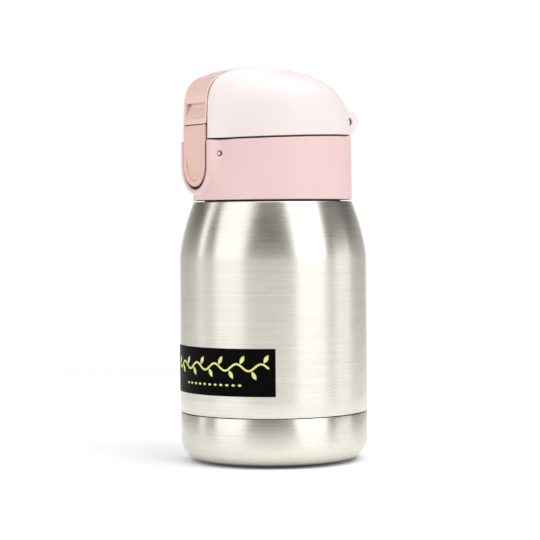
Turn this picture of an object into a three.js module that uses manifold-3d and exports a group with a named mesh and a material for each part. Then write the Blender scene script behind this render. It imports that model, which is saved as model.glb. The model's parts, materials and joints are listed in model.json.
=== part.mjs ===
// Insulated toddler bottle: a double-wall steel flask with a screw-on cap and a one-touch flip lid.
// Millimetres. +Z is up and the bottle stands on z = 0. The push button faces -Y, the lid hinge is at +Y.

import * as THREE from "three";
import { mergeVertices } from "three/addons/utils/BufferGeometryUtils.js";
import Module from "manifold-3d";

const wasm = await Module();
wasm.setup();

// ---------- driving dimensions ----------

const GAP = 0.3; // clearance between pieces that touch on the real bottle

// flask
const BODY_R = 34; // the flask is 68 mm across
const WALL = 0.8; // steel wall
const BASE_CORNER_R = 8.5;
const SEAM_Z = 17.8; // top edge of the bottom cup
const SHOULDER_START_Z = 73;
const SHOULDER_TOP_Z = 93.8;
const SHOULDER_TOP_R = 28.9;
const SHOULDER_POWER = 1.55;
const NECK_R = 24.6;
const NECK_TOP_Z = 109.1;
const LINER_R = 30.8; // outside of the inner flask

// screw thread between neck and cap, two starts
const THREAD_LEAD = 8;
const THREAD_STARTS = 2;
const THREAD_BOTTOM_Z = 97;
const THREAD_ROOT_WIDTH = 1.4;
const THREAD_CREST_WIDTH = 0.8;
const NECK_CREST_R = 25.5;
const COLLAR_CREST_R = 25;

// cap
const COLLAR_BOTTOM_Z = 94.4;
const COLLAR_R = 28.8;
const COLLAR_BORE_R = 26;
const COLLAR_RIM_R = 26.8; // inside of the rim that the lid closes on
const SPLIT_Z = 116.75; // height of the lid split on the bottle's axis
const SPLIT_SLOPE = 0.0294; // the split rises towards the hinge
const SPLIT_HALF_GAP = 0.3;
const DECK_TOP_Z = 113.2;
const VENT_Y = 18.2; // the air valve sits behind the spout

// front boss, push button and safety lock: one strip up the front
const BOSS_HALF_WIDTH = 11.2;
const BOSS_FRONT_Y = -32.1;
const STRIP_HALF_WIDTH = 8.3; // the lock and its channel in the lid
const BUTTON_HALF_WIDTH = 8;
const POCKET_HALF_WIDTH = 8.7;
const BUTTON_FRONT_Y = -32.3;
const BUTTON_BACK_Y = -29.6;
const BUTTON_ROUND_Z = 107.3; // centre of the round lower end
const BUTTON_TOP_Z = 121.1;
const BUTTON_PIVOT = { y: -27.9, z: 110.8 };
const BUTTON_PIN_R = 0.8;
const BUTTON_LUG_R = 1.7; // the ears behind the button that turn on its pin
const BUTTON_LUG_INNER_X = 5.5;
const LOCK_PIVOT = { y: -23, z: 137.4 };
const LOCK_BARREL_R = 2;
const LOCK_BOTTOM_Z = 121.4;

// lid
const LID_R = 28.5;
const LID_TOP_Z = 141.75;
const LID_DOME_START_Z = 118;
const LID_LEAN = 3.4; // the crown sits this far forward of the axis
const LID_WALL = 1.9;
const HINGE = { y: 26.6, z: 122.9 };
const HINGE_PIN_R = 1.25;
const EAR_R = 4.65;
const EAR_INNER_X = 5;
const EAR_OUTER_X = 10;
const SPOUT_TOP_Z = 131;

// facets round a full turn
const ROUND = 36;
const SMALL_ROUND = 28;
const PIN_ROUND = 12;

// ---------- colours and finishes ----------

function finish(color, roughness, metalness) {
  return new THREE.MeshStandardMaterial({ color, roughness, metalness });
}

const FINISH = {
  brushedSteel: finish(0xc9c6c0, 0.35, 1),
  plainSteel: finish(0xb8b8b8, 0.3, 1),
  labelBlack: finish(0x101010, 0.4, 0),
  collarPink: finish(0xf0cfcf, 0.4, 0),
  buttonPink: finish(0xeec4b8, 0.45, 0),
  lidPink: finish(0xfaecea, 0.35, 0),
  white: finish(0xf4f2ee, 0.45, 0),
  silicone: finish(0xf2f4f2, 0.6, 0),
  getterGrey: finish(0x77797c, 0.8, 0.2),
};

// ---------- solid helpers ----------

function signedVolume(positions, index) {
  const a = new THREE.Vector3();
  const b = new THREE.Vector3();
  const c = new THREE.Vector3();
  let volume = 0;
  for (let i = 0; i < index.length; i += 3) {
    a.fromArray(positions, index[i] * 3);
    b.fromArray(positions, index[i + 1] * 3);
    c.fromArray(positions, index[i + 2] * 3);
    volume += a.dot(b.cross(c)) / 6;
  }
  return volume;
}

// A closed geometry becomes a manifold solid with its faces pointing out.
function solid(geometry) {
  const bare = geometry.clone();
  bare.deleteAttribute("normal");
  bare.deleteAttribute("uv");
  const merged = mergeVertices(bare, 1e-4);
  const positions = new Float32Array(merged.attributes.position.array);
  const triangles = [];
  const source = merged.index.array;
  for (let i = 0; i < source.length; i += 3) {
    const [a, b, c] = [source[i], source[i + 1], source[i + 2]];
    if (a !== b && b !== c && c !== a) {
      triangles.push(a, b, c);
    }
  }
  if (signedVolume(positions, triangles) < 0) {
    triangles.reverse();
  }
  const mesh = new wasm.Mesh({
    numProp: 3,
    vertProperties: positions,
    triVerts: new Uint32Array(triangles),
  });
  return new wasm.Manifold(mesh);
}

function join(...solids) {
  return solids.reduce((total, next) => total.add(next));
}

function cut(base, ...tools) {
  return tools.reduce((total, next) => total.subtract(next), base);
}

function geometryOf(manifold) {
  const mesh = manifold.getMesh();
  const geometry = new THREE.BufferGeometry();
  geometry.setAttribute("position", new THREE.BufferAttribute(mesh.vertProperties, 3));
  geometry.setIndex(new THREE.BufferAttribute(mesh.triVerts, 1));
  geometry.computeVertexNormals();
  return geometry;
}

// Turns an outline of [radius, z] pairs round the Z axis. It starts and ends on the axis or closes.
function revolve(outline, segments = ROUND) {
  const points = outline.map(([r, z]) => new THREE.Vector2(r, z));
  const geometry = new THREE.LatheGeometry(points, segments);
  geometry.rotateX(Math.PI / 2);
  return geometry;
}

function ring(innerR, outerR, bottomZ, topZ, segments = ROUND) {
  return revolve([
    [innerR, bottomZ],
    [outerR, bottomZ],
    [outerR, topZ],
    [innerR, topZ],
    [innerR, bottomZ],
  ], segments);
}

function disc(radius, bottomZ, topZ, segments = ROUND) {
  return revolve([[0, bottomZ], [radius, bottomZ], [radius, topZ], [0, topZ]], segments);
}

function box(x0, x1, y0, y1, z0, z1) {
  const geometry = new THREE.BoxGeometry(x1 - x0, y1 - y0, z1 - z0);
  geometry.translate((x0 + x1) / 2, (y0 + y1) / 2, (z0 + z1) / 2);
  return geometry;
}

// A round bar along X between x0 and x1.
function crossBar(radius, x0, x1, at, segments = PIN_ROUND) {
  const geometry = new THREE.CylinderGeometry(radius, radius, x1 - x0, segments);
  geometry.rotateZ(Math.PI / 2);
  geometry.translate((x0 + x1) / 2, at.y, at.z);
  return geometry;
}

// The same bar on both sides of the middle plane.
function crossBarPair(radius, x0, x1, at, segments = PIN_ROUND) {
  return join(
    solid(crossBar(radius, x0, x1, at, segments)),
    solid(crossBar(radius, -x1, -x0, at, segments)),
  );
}

// Extrudes an outline drawn in X and Z along Y, from y0 to y1.
function extrudeAlongY(shape, y0, y1, curveSegments) {
  const geometry = new THREE.ExtrudeGeometry(shape, { depth: y1 - y0, bevelEnabled: false, curveSegments });
  geometry.rotateX(Math.PI / 2);
  geometry.translate(0, y1, 0);
  return geometry;
}

// Extrudes an outline drawn in Y and Z along X, centred on the middle plane.
function extrudeAlongX(shape, halfWidth, curveSegments, bevel = 0) {
  const depth = 2 * (halfWidth - bevel);
  const geometry = new THREE.ExtrudeGeometry(shape, {
    depth,
    curveSegments,
    bevelEnabled: bevel > 0,
    bevelSize: bevel,
    bevelThickness: bevel,
    bevelSegments: 3,
  });
  geometry.translate(0, 0, -depth / 2);
  geometry.rotateX(Math.PI / 2);
  geometry.rotateZ(Math.PI / 2);
  return geometry;
}

// Everything below the tilted split between collar and lid, moved up by offset.
function belowSplit(offset) {
  const size = 200;
  const geometry = new THREE.BoxGeometry(size, size, size);
  geometry.translate(0, 0, -size / 2);
  geometry.rotateX(Math.atan(SPLIT_SLOPE));
  geometry.translate(0, 0, SPLIT_Z + offset);
  return solid(geometry);
}

// A wire along a curve.
function wire(curve, radius, steps) {
  const section = new THREE.Shape();
  section.absarc(0, 0, radius, 0, 2 * Math.PI);
  return new THREE.ExtrudeGeometry(section, {
    extrudePath: curve,
    steps,
    curveSegments: 3,
    bevelEnabled: false,
  });
}

// ---------- shared outlines ----------

function arcPoints(centreR, centreZ, radius, fromDegrees, toDegrees, steps) {
  const points = [];
  for (let i = 0; i <= steps; i += 1) {
    const angle = THREE.MathUtils.degToRad(fromDegrees + ((toDegrees - fromDegrees) * i) / steps);
    points.push([centreR + radius * Math.cos(angle), centreZ + radius * Math.sin(angle)]);
  }
  return points;
}

// Radius of the flask's shoulder at height z.
function shoulderR(z) {
  const t = (z - SHOULDER_START_Z) / (SHOULDER_TOP_Z - SHOULDER_START_Z);
  return BODY_R - (BODY_R - SHOULDER_TOP_R) * Math.max(t, 0) ** SHOULDER_POWER;
}

function shoulderPoints(inset, steps) {
  const points = [];
  for (let i = 0; i <= steps; i += 1) {
    const z = THREE.MathUtils.lerp(SHOULDER_START_Z, SHOULDER_TOP_Z, i / steps);
    points.push([shoulderR(z) - inset, z - inset * (i / steps)]);
  }
  return points;
}

// One helical ridge that starts on the side angle, sunk into the wall at its root.
function threadRidge(rootR, crestR, bottomZ, turns, startAngle) {
  const stepsPerTurn = 24;
  const steps = Math.round(stepsPerTurn * turns);
  const positions = [];
  const index = [];
  for (let i = 0; i <= steps; i += 1) {
    const turn = i / stepsPerTurn;
    const angle = startAngle + turn * 2 * Math.PI;
    const z = bottomZ + turn * THREAD_LEAD;
    const corners = [
      [rootR, z - THREAD_ROOT_WIDTH / 2],
      [crestR, z - THREAD_CREST_WIDTH / 2],
      [crestR, z + THREAD_CREST_WIDTH / 2],
      [rootR, z + THREAD_ROOT_WIDTH / 2],
    ];
    corners.forEach(([r, height]) => positions.push(r * Math.cos(angle), r * Math.sin(angle), height));
  }
  for (let i = 0; i < steps; i += 1) {
    for (let side = 0; side < 4; side += 1) {
      const a = i * 4 + side;
      const b = i * 4 + ((side + 1) % 4);
      index.push(a, b, b + 4, a, b + 4, a + 4);
    }
  }
  const last = steps * 4;
  index.push(0, 2, 1, 0, 3, 2);
  index.push(last, last + 1, last + 2, last, last + 2, last + 3);
  const geometry = new THREE.BufferGeometry();
  geometry.setAttribute("position", new THREE.Float32BufferAttribute(positions, 3));
  geometry.setIndex(index);
  return solid(geometry);
}

function thread(rootR, crestR, bottomZ, turns) {
  const ridges = [];
  for (let start = 0; start < THREAD_STARTS; start += 1) {
    ridges.push(threadRidge(rootR, crestR, bottomZ, turns, (start * 2 * Math.PI) / THREAD_STARTS));
  }
  return join(...ridges);
}

// Outline of the button's long round-ended shape in X and Z.
function strapOutline(halfWidth, roundZ, topZ) {
  const shape = new THREE.Shape();
  shape.moveTo(halfWidth, topZ);
  shape.lineTo(-halfWidth, topZ);
  shape.lineTo(-halfWidth, roundZ);
  shape.absarc(0, roundZ, halfWidth, Math.PI, 2 * Math.PI);
  shape.lineTo(halfWidth, topZ);
  return shape;
}

// The lid's dome: a full, slightly squared curve whose rings drift forward as they rise.
function domeSolid(radius, topZ, skirtZ, segments, rings) {
  const height = topZ - LID_DOME_START_Z;
  const outline = [[0, skirtZ], [radius, skirtZ]];
  for (let i = 0; i < rings; i += 1) {
    const angle = ((Math.PI / 2) * i) / rings;
    const r = radius * Math.cos(angle) ** (2 / 2.2);
    outline.push([r, LID_DOME_START_Z + height * Math.sin(angle) ** (2 / 3.2)]);
  }
  outline.push([0, topZ]);
  const geometry = revolve(outline, segments);
  const position = geometry.attributes.position;
  for (let i = 0; i < position.count; i += 1) {
    const rise = Math.max(0, (position.getZ(i) - LID_DOME_START_Z) / height);
    position.setY(i, position.getY(i) - LID_LEAN * rise ** 1.5);
  }
  return solid(geometry);
}

// ---------- flask ----------

function outerShell() {
  const innerNeckR = NECK_R - WALL;
  const rimZ = NECK_TOP_Z - WALL - 0.2;
  const tube = revolve([
    [BODY_R, SEAM_Z + GAP],
    ...shoulderPoints(0, 5),
    [NECK_R, SHOULDER_TOP_Z],
    [NECK_R, rimZ],
    [innerNeckR, rimZ],
    [innerNeckR, SHOULDER_TOP_Z - WALL],
    ...shoulderPoints(WALL, 3).reverse(),
    [BODY_R - WALL, SEAM_Z + GAP],
    [BODY_R, SEAM_Z + GAP],
  ]);
  return join(solid(tube), thread(NECK_R - 0.3, NECK_CREST_R, THREAD_BOTTOM_Z, 1));
}

function baseCup() {
  const recessR = 19;
  const recessZ = 1.2;
  const spigotR = BODY_R - WALL - GAP;
  const flatR = BODY_R - BASE_CORNER_R;
  return solid(revolve([
    [0, recessZ],
    [recessR, recessZ],
    [recessR + 0.4, 0],
    ...arcPoints(flatR, BASE_CORNER_R, BASE_CORNER_R, -90, 0, 4),
    [BODY_R, SEAM_Z],
    [spigotR, SEAM_Z],
    [spigotR, SEAM_Z + 2.4],
    [spigotR - WALL, SEAM_Z + 2.4],
    [spigotR - WALL, SEAM_Z - 1],
    [BODY_R - WALL, SEAM_Z - 1.5],
    ...arcPoints(flatR, BASE_CORNER_R, BASE_CORNER_R - WALL, 0, -90, 3),
    [recessR + 1.2, WALL],
    [recessR + WALL, recessZ + WALL],
    [0, recessZ + WALL],
  ]));
}

function basePlate() {
  return solid(disc(18.6, 0.25, 0.9, SMALL_ROUND));
}

function getter() {
  return solid(disc(4, 2.3, 4.3, PIN_ROUND));
}

function innerLiner() {
  const bottomZ = 6.5;
  const cornerR = 8.5;
  const neckR = NECK_R - WALL - GAP;
  const bendZ = 72;
  const neckZ = 93;
  const side = (inset, steps) => {
    const points = [];
    for (let i = 0; i <= steps; i += 1) {
      const t = i / steps;
      const drop = (LINER_R - neckR) * t ** 2;
      points.push([LINER_R - inset - drop, THREE.MathUtils.lerp(bendZ, neckZ, t) - inset * t]);
    }
    return points;
  };
  return solid(revolve([
    [0, bottomZ],
    ...arcPoints(LINER_R - cornerR, bottomZ + cornerR, cornerR, -90, 0, 3),
    ...side(0, 3),
    [neckR, NECK_TOP_Z - WALL + 0.1],
    [NECK_R, NECK_TOP_Z - WALL + 0.1],
    [NECK_R, NECK_TOP_Z],
    [neckR - WALL, NECK_TOP_Z],
    ...side(WALL, 3).reverse(),
    ...arcPoints(LINER_R - cornerR, bottomZ + cornerR, cornerR - WALL, 0, -90, 3),
    [0, bottomZ + WALL],
  ]));
}

// A thin wrap-round sticker, set by eye a little to one side of the front.
function label() {
  const innerR = BODY_R + 0.15;
  const outerR = BODY_R + 0.35;
  const bottomZ = 25.7;
  const height = 16.7;
  const from = THREE.MathUtils.degToRad(-113.5);
  const to = THREE.MathUtils.degToRad(-29);
  const shape = new THREE.Shape();
  shape.absarc(0, 0, outerR, from, to, false);
  shape.absarc(0, 0, innerR, to, from, true);
  const geometry = new THREE.ExtrudeGeometry(shape, {
    depth: height,
    curveSegments: 18,
    bevelEnabled: false,
  });
  geometry.translate(0, 0, bottomZ);
  return solid(geometry);
}

// ---------- cap ----------

function hingeBlock() {
  const halfWidth = EAR_INNER_X - GAP;
  const knuckle = solid(crossBar(EAR_R - 0.35, -halfWidth, halfWidth, HINGE, 24));
  const stem = solid(box(-halfWidth, halfWidth, HINGE.y - 3.6, HINGE.y + 1.6, DECK_TOP_Z + 1, HINGE.z));
  const springSlot = solid(box(-2.5, 2.5, HINGE.y - 6, HINGE.y + 6, HINGE.z - 3.2, HINGE.z + 6));
  return cut(join(knuckle, stem), springSlot);
}

function collar() {
  const ledgeBottomZ = DECK_TOP_Z + GAP;
  const ledgeTopZ = ledgeBottomZ + 1;
  const ledgeR = 24;
  const above = SPLIT_Z + 8;
  const body = solid(revolve([
    [0, COLLAR_BOTTOM_Z],
    [COLLAR_R + 0.1, COLLAR_BOTTOM_Z],
    [COLLAR_R - 0.1, above],
    [0, above],
  ]));
  const bossShape = strapOutline(BOSS_HALF_WIDTH - 2, BUTTON_ROUND_Z, above);
  const bossBlock = new THREE.ExtrudeGeometry(bossShape, {
    depth: 10,
    curveSegments: 14,
    bevelSize: 2,
    bevelThickness: 2,
    bevelSegments: 3,
  });
  bossBlock.rotateX(Math.PI / 2);
  bossBlock.translate(0, BOSS_FRONT_Y + 12, 0);
  const inside = solid(revolve([
    [0, COLLAR_BOTTOM_Z - 1],
    [COLLAR_BORE_R, COLLAR_BOTTOM_Z - 1],
    [COLLAR_BORE_R, ledgeBottomZ],
    [ledgeR, ledgeBottomZ],
    [ledgeR, ledgeTopZ],
    [COLLAR_RIM_R, ledgeTopZ],
    [COLLAR_RIM_R, above + 1],
    [0, above + 1],
  ]));
  const pocketFloorY = -27.4;
  const pocket = solid(extrudeAlongY(
    strapOutline(POCKET_HALF_WIDTH, BUTTON_ROUND_Z - 0.3, above + 1),
    BOSS_FRONT_Y - 5,
    pocketFloorY,
    12,
  ));
  const lugRoomR = BUTTON_LUG_R + GAP;
  const lugRooms = crossBarPair(lugRoomR, BUTTON_LUG_INNER_X - GAP, POCKET_HALF_WIDTH, BUTTON_PIVOT);
  const pinHoleX = BOSS_HALF_WIDTH + 2;
  const pinHole = solid(crossBar(BUTTON_PIN_R + 0.25, -pinHoleX, pinHoleX, BUTTON_PIVOT));
  const shell = cut(join(body, solid(bossBlock)), inside, pocket, lugRooms, pinHole);
  const trimmed = shell.intersect(belowSplit(-SPLIT_HALF_GAP));
  const collarThread = thread(COLLAR_BORE_R + 0.4, COLLAR_CREST_R, THREAD_BOTTOM_Z + THREAD_LEAD / 4, 0.75);
  const hingeHole = solid(crossBar(HINGE_PIN_R + GAP, -EAR_INNER_X, EAR_INNER_X, HINGE));
  return cut(join(trimmed, collarThread, hingeBlock()), hingeHole);
}

function mouthSeal() {
  return solid(ring(22.5, 25, NECK_TOP_Z + GAP, NECK_TOP_Z + GAP + 1.5));
}

function spoutDeck() {
  const bottomZ = DECK_TOP_Z - 2;
  const plate = solid(revolve([
    [7.4, bottomZ],
    [20.2, bottomZ],
    [20.2, bottomZ - 8],
    [22.2, bottomZ - 8],
    [22.2, bottomZ],
    [25.6, bottomZ],
    [25.6, DECK_TOP_Z],
    [7.4, DECK_TOP_Z],
    [7.4, bottomZ],
  ]));
  const ventHole = disc(1.5, bottomZ - 1, DECK_TOP_Z + 1, PIN_ROUND);
  ventHole.translate(0, VENT_Y, 0);
  return cut(plate, solid(ventHole));
}

function ventValve() {
  const headZ = DECK_TOP_Z + GAP;
  const valve = revolve([
    [0, headZ - 3.6],
    [1.1, headZ - 3.6],
    [1.1, headZ],
    [2.8, headZ],
    [2.8, headZ + 0.6],
    [1.8, headZ + 1.1],
    [0, headZ + 1.1],
  ], PIN_ROUND);
  valve.translate(0, VENT_Y, 0);
  return solid(valve);
}

function spout() {
  const flangeZ = DECK_TOP_Z + GAP;
  return solid(revolve([
    [4.5, flangeZ - 6],
    [7, flangeZ - 6],
    [7, flangeZ],
    [13, flangeZ],
    [13, flangeZ + 1.4],
    [9.6, flangeZ + 1.4],
    [9, 119],
    [8.4, 126],
    [7.9, SPOUT_TOP_Z - 0.8],
    [7.1, SPOUT_TOP_Z],
    [5.3, SPOUT_TOP_Z],
    [4.5, SPOUT_TOP_Z - 0.8],
    [4.5, flangeZ - 6],
  ], SMALL_ROUND));
}

function spoutRing() {
  const bottomZ = DECK_TOP_Z + GAP;
  const topZ = bottomZ + 3;
  return solid(revolve([
    [13.3, bottomZ],
    [14.6, bottomZ],
    [14.6, topZ - 0.5],
    [14.1, topZ],
    [10.2, topZ],
    [10.2, bottomZ + 1.7],
    [13.3, bottomZ + 1.7],
    [13.3, bottomZ],
  ], SMALL_ROUND));
}

function buttonPin() {
  return solid(crossBar(BUTTON_PIN_R, -10.9, 10.9, BUTTON_PIVOT));
}

function hingePin() {
  return solid(crossBar(HINGE_PIN_R, -EAR_OUTER_X + 0.5, EAR_OUTER_X - 0.5, HINGE));
}

// A short coil that pushes the button's lower end outwards.
function buttonSpring() {
  const coilR = 2;
  const wireR = 0.2;
  const startY = BUTTON_BACK_Y + GAP + wireR;
  const length = 1.2;
  const turns = 2;
  const points = [];
  for (let i = 0; i <= turns * 12; i += 1) {
    const angle = (i / 12) * 2 * Math.PI;
    const y = startY + (length * i) / (turns * 12);
    points.push(new THREE.Vector3(coilR * Math.cos(angle), y, 103 + coilR * Math.sin(angle)));
  }
  return solid(wire(new THREE.CatmullRomCurve3(points), wireR, turns * 12));
}

// The torsion coil round the hinge pin, with one leg on the collar and one under the lid.
function hingeSpring() {
  const coilR = 2.2;
  const wireR = 0.28;
  const turns = 3.25;
  const halfLength = 1.7;
  const coilPoint = (turn, x) => {
    const angle = Math.PI + turn * 2 * Math.PI;
    return new THREE.Vector3(x, HINGE.y + coilR * Math.cos(angle), HINGE.z + coilR * Math.sin(angle));
  };
  const points = [new THREE.Vector3(-halfLength, HINGE.y - coilR, HINGE.z + 3.6)];
  points.push(new THREE.Vector3(-halfLength, HINGE.y - coilR, HINGE.z + 1.8));
  const steps = turns * 12;
  for (let i = 0; i <= steps; i += 1) {
    points.push(coilPoint(i / 12, -halfLength + (2 * halfLength * i) / steps));
  }
  return solid(wire(new THREE.CatmullRomCurve3(points), wireR, 42));
}

function pushButton() {
  const plate = solid(extrudeAlongY(
    strapOutline(BUTTON_HALF_WIDTH, BUTTON_ROUND_Z, BUTTON_TOP_Z),
    BUTTON_FRONT_Y,
    BUTTON_BACK_Y,
    12,
  ));
  const dishR = 20;
  const dishDepth = 0.7;
  const dish = new THREE.SphereGeometry(dishR, 32, 20);
  dish.scale(1, 1, 1.25);
  dish.translate(0, BUTTON_FRONT_Y + dishDepth - dishR, 105);
  const lugOuterX = BUTTON_HALF_WIDTH - 0.2;
  const lugs = crossBarPair(BUTTON_LUG_R, BUTTON_LUG_INNER_X, lugOuterX, BUTTON_PIVOT);
  const webBottomZ = BUTTON_PIVOT.z - BUTTON_LUG_R;
  const webTopZ = BUTTON_PIVOT.z + BUTTON_LUG_R;
  const webs = [1, -1].map((side) => {
    const xs = [side * BUTTON_LUG_INNER_X, side * lugOuterX].sort((a, b) => a - b);
    return solid(box(xs[0], xs[1], BUTTON_BACK_Y - 0.2, BUTTON_PIVOT.y, webBottomZ, webTopZ));
  });
  const hook = solid(box(-3.4, 3.4, BUTTON_BACK_Y - 0.2, BUTTON_BACK_Y + 0.6, 118.4, 120.6));
  const pinHole = solid(crossBar(BUTTON_PIN_R + 0.25, -lugOuterX - 1, lugOuterX + 1, BUTTON_PIVOT));
  return cut(join(plate, lugs, ...webs, hook), pinHole, solid(dish));
}

// ---------- lid ----------

// The raised band on the front of the lid that the strip runs up, drawn inside its rounded edges.
function lidBoss() {
  const edge = 2.6;
  const backY = -12;
  const shape = new THREE.Shape();
  shape.moveTo(-28.8, 110);
  shape.lineTo(-28.4, 129);
  shape.bezierCurveTo(-28.2, 133.6, -25.6, 136.4, -20.5, 137.1);
  shape.lineTo(backY, 137.8);
  shape.lineTo(backY, 110);
  shape.closePath();
  return solid(extrudeAlongX(shape, BOSS_HALF_WIDTH, 7, edge));
}

// The open channel up the front of the lid, ending in a round seat for the lock's barrel.
function stripChannel() {
  const floorY = -28.2;
  const seatR = LOCK_BARREL_R + GAP;
  const shape = new THREE.Shape();
  shape.moveTo(-45, 108);
  shape.lineTo(floorY, 108);
  shape.lineTo(floorY, 129);
  shape.quadraticCurveTo(floorY, 133.8, LOCK_PIVOT.y - 1.2, LOCK_PIVOT.z - seatR);
  shape.absarc(LOCK_PIVOT.y, LOCK_PIVOT.z, seatR, -Math.PI / 2, 0, false);
  shape.lineTo(LOCK_PIVOT.y + seatR, 150);
  shape.lineTo(-45, 150);
  shape.closePath();
  return solid(extrudeAlongX(shape, STRIP_HALF_WIDTH + GAP, 5));
}

function lidShell() {
  const outside = join(domeSolid(LID_R, LID_TOP_Z, 110, ROUND, 8), lidBoss());
  const dome = domeSolid(LID_R - LID_WALL, LID_TOP_Z - LID_WALL - 0.25, 109, ROUND, 5);
  const lockBulge = solid(crossBar(LOCK_BARREL_R + GAP + 1.2, -10.6, 10.6, LOCK_PIVOT, 20));
  const cavity = cut(dome, lockBulge);
  const ears = crossBarPair(EAR_R, EAR_INNER_X, EAR_OUTER_X, HINGE, 24);
  const hingeSlot = solid(box(-EAR_INNER_X, EAR_INNER_X, HINGE.y - 5.4, HINGE.y + 9, 108, HINGE.z + 5.3));
  const axleHoles = crossBarPair(1.3, STRIP_HALF_WIDTH, 10.1, LOCK_PIVOT, 12);
  const catchWindow = solid(box(-4.2, 4.2, -29, -27.4, 117.6, 121));
  const pinHole = solid(crossBar(HINGE_PIN_R + GAP, -EAR_OUTER_X - 3, EAR_OUTER_X + 3, HINGE));
  const hollow = cut(outside, cavity, stripChannel(), hingeSlot, axleHoles, catchWindow);
  const whole = join(cut(hollow, belowSplit(SPLIT_HALF_GAP)), ears);
  return cut(whole, pinHole);
}

function lidLiner() {
  const fit = LID_WALL + 0.4;
  const thick = 1.2;
  const outside = domeSolid(LID_R - fit, LID_TOP_Z - fit - 0.25, 108, ROUND, 5);
  const inside = domeSolid(LID_R - fit - thick, LID_TOP_Z - fit - 0.25 - thick, 107, ROUND, 5);
  const socketBottomZ = SPOUT_TOP_Z + 1.4;
  const gasketSocket = solid(ring(8.4, 9.6, socketBottomZ, socketBottomZ + 6.6, 24)).intersect(outside);
  const bulgeR = LOCK_BARREL_R + 1.8;
  const bulgeX = 11;
  const lockBulge = solid(crossBar(bulgeR, -bulgeX, bulgeX, LOCK_PIVOT, 20));
  const coveredBulge = solid(crossBar(bulgeR + thick, -bulgeX - thick, bulgeX + thick, LOCK_PIVOT, 20));
  const hingeRoom = solid(box(-10.6, 10.6, HINGE.y - 5.3, HINGE.y + 9, 105, HINGE.z + 5.3));
  const shell = cut(outside, cut(inside, coveredBulge));
  const lowered = cut(shell, belowSplit(-0.9));
  return cut(join(lowered, gasketSocket), lockBulge, hingeRoom);
}

function lidGasket() {
  const bottomZ = SPOUT_TOP_Z + GAP;
  return solid(revolve([
    [0, bottomZ],
    [7.7, bottomZ],
    [8.1, bottomZ + 0.4],
    [8.1, bottomZ + 5.4],
    [0, bottomZ + 5.4],
  ], 24));
}

// The safety lock: a curved lever with moulded stub axles and a thumb scoop under a ledge.
function lockLever() {
  const shape = new THREE.Shape();
  shape.moveTo(-31.95, LOCK_BOTTOM_Z);
  shape.lineTo(-31.1, 131.4);
  shape.bezierCurveTo(-30.7, 135.2, -28.4, 138.2, LOCK_PIVOT.y - 0.6, LOCK_PIVOT.z + LOCK_BARREL_R - 0.1);
  shape.absarc(LOCK_PIVOT.y, LOCK_PIVOT.z, LOCK_BARREL_R, Math.PI / 2, -Math.PI / 2, true);
  shape.bezierCurveTo(-26.4, 135.2, -28.4, 133.2, -28.7, 129.5);
  shape.lineTo(-29, LOCK_BOTTOM_Z);
  shape.closePath();
  const body = solid(extrudeAlongX(shape, STRIP_HALF_WIDTH, 6));
  const scoopShape = new THREE.Shape();
  scoopShape.moveTo(-34, 129.2);
  scoopShape.lineTo(-29.8, 129);
  scoopShape.lineTo(-30, 127.4);
  scoopShape.lineTo(-31.8, 123.8);
  scoopShape.lineTo(-34, 123.8);
  scoopShape.closePath();
  const scoop = solid(extrudeAlongX(scoopShape, STRIP_HALF_WIDTH - 1, 1));
  const axles = crossBarPair(1, STRIP_HALF_WIDTH - 0.5, 9.8, LOCK_PIVOT, 12);
  return cut(join(body, axles), scoop);
}

// ---------- assembly ----------

function part(name, manifold, material) {
  const mesh = new THREE.Mesh(geometryOf(manifold), material);
  mesh.name = name;
  return mesh;
}

const flask = new THREE.Group();
flask.add(
  part("outer_shell", outerShell(), FINISH.brushedSteel),
  part("base_cup", baseCup(), FINISH.brushedSteel),
  part("base_plate", basePlate(), FINISH.plainSteel),
  part("getter", getter(), FINISH.getterGrey),
  part("inner_liner", innerLiner(), FINISH.plainSteel),
  part("label", label(), FINISH.labelBlack),
);

const cap = new THREE.Group();
cap.add(
  part("collar", collar(), FINISH.collarPink),
  part("mouth_seal", mouthSeal(), FINISH.silicone),
  part("spout_deck", spoutDeck(), FINISH.collarPink),
  part("vent_valve", ventValve(), FINISH.silicone),
  part("spout", spout(), FINISH.silicone),
  part("spout_ring", spoutRing(), FINISH.white),
  part("push_button", pushButton(), FINISH.buttonPink),
  part("button_pin", buttonPin(), FINISH.plainSteel),
  part("button_spring", buttonSpring(), FINISH.plainSteel),
  part("hinge_pin", hingePin(), FINISH.plainSteel),
  part("hinge_spring", hingeSpring(), FINISH.plainSteel),
);

const lid = new THREE.Group();
lid.add(
  part("lid_shell", lidShell(), FINISH.lidPink),
  part("lid_liner", lidLiner(), FINISH.white),
  part("lid_gasket", lidGasket(), FINISH.silicone),
  part("lock_lever", lockLever(), FINISH.buttonPink),
);

const bottle = new THREE.Group();
bottle.add(flask, cap, lid);

export default bottle;
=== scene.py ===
"""Insulated toddler bottle with a one-touch flip lid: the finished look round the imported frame.

The shapes are worked out in millimetres and scaled to metres when a mesh is made. Turned parts are
revolved outlines. Moulded parts are distance fields, joined and cut with rounded edges, and meshed by
a surface net. The button faces -Y, the lid hinge is at +Y and +Z is up.
"""

import json
import math

import bpy
import numpy as np
from mathutils import Matrix, Vector


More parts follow.
